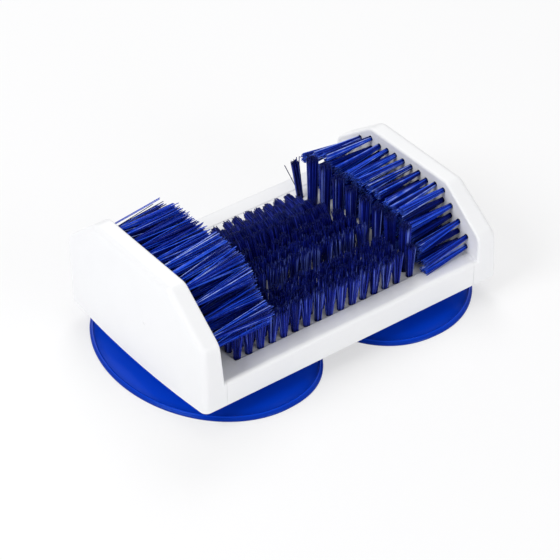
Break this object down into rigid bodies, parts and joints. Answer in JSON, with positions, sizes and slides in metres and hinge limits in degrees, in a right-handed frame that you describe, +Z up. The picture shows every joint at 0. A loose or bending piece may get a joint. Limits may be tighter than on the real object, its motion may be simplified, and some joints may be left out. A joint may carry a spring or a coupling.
{
  "type": "foot brush",
  "caption": "Foot brush: white tray between two tufted end blocks of unlike height, with floor tufts, standing on two oval suction cups.",
  "frame": {"origin": "on the ground under the centre of the brush, between the two suction cups", "axes": "+X along the brush towards the lower end block, +Y to the back, +Z up"},
  "size_m": [0.2264, 0.1486, 0.0802],
  "materials": {
    "white_plastic": "white moulded polypropylene, satin gloss",
    "blue_bristle": "royal blue nylon filament, semi-gloss",
    "blue_soft_plastic": "soft glossy royal blue suction-cup plastic",
    "zinc_steel": "zinc-plated steel"
  },
  "bodies": {
    "root": {"back_floor_tufts": "blue_bristle", "base_tray": "white_plastic", "board_screw_1": "zinc_steel", "board_screw_2": "zinc_steel", "board_screw_3": "zinc_steel", "board_screw_4": "zinc_steel", "floor_board": "white_plastic", "front_floor_tufts": "blue_bristle", "left_brush_plate": "white_plastic", "left_end_casing": "white_plastic", "left_lug_screw_1": "zinc_steel", "left_lug_screw_2": "zinc_steel", "left_lug_screw_3": "zinc_steel", "left_side_tufts": "blue_bristle", "middle_floor_tufts": "blue_bristle", "right_brush_plate": "white_plastic", "right_end_casing": "white_plastic", "right_lug_screw_1": "zinc_steel", "right_lug_screw_2": "zinc_steel", "right_lug_screw_3": "zinc_steel", "right_side_tufts": "blue_bristle", "tall_tufts": "blue_bristle"},
    "left_cup": {"left_cup_screw": "zinc_steel", "left_cup_washer": "zinc_steel", "left_suction_cup": "blue_soft_plastic"},
    "right_cup": {"right_cup_screw": "zinc_steel", "right_cup_washer": "zinc_steel", "right_suction_cup": "blue_soft_plastic"}
  },
  "joints": [
    {"name": "left_cup_turn", "type": "hinge", "parent": "root", "child": "left_cup", "pos_m": [-0.0535, 0, 0], "axis": [0, 0, 1], "range_deg": [-5, 5]},
    {"name": "right_cup_turn", "type": "hinge", "parent": "root", "child": "right_cup", "pos_m": [0.0535, 0, 0], "axis": [0, 0, 1], "range_deg": [-5, 5]}
  ]
}
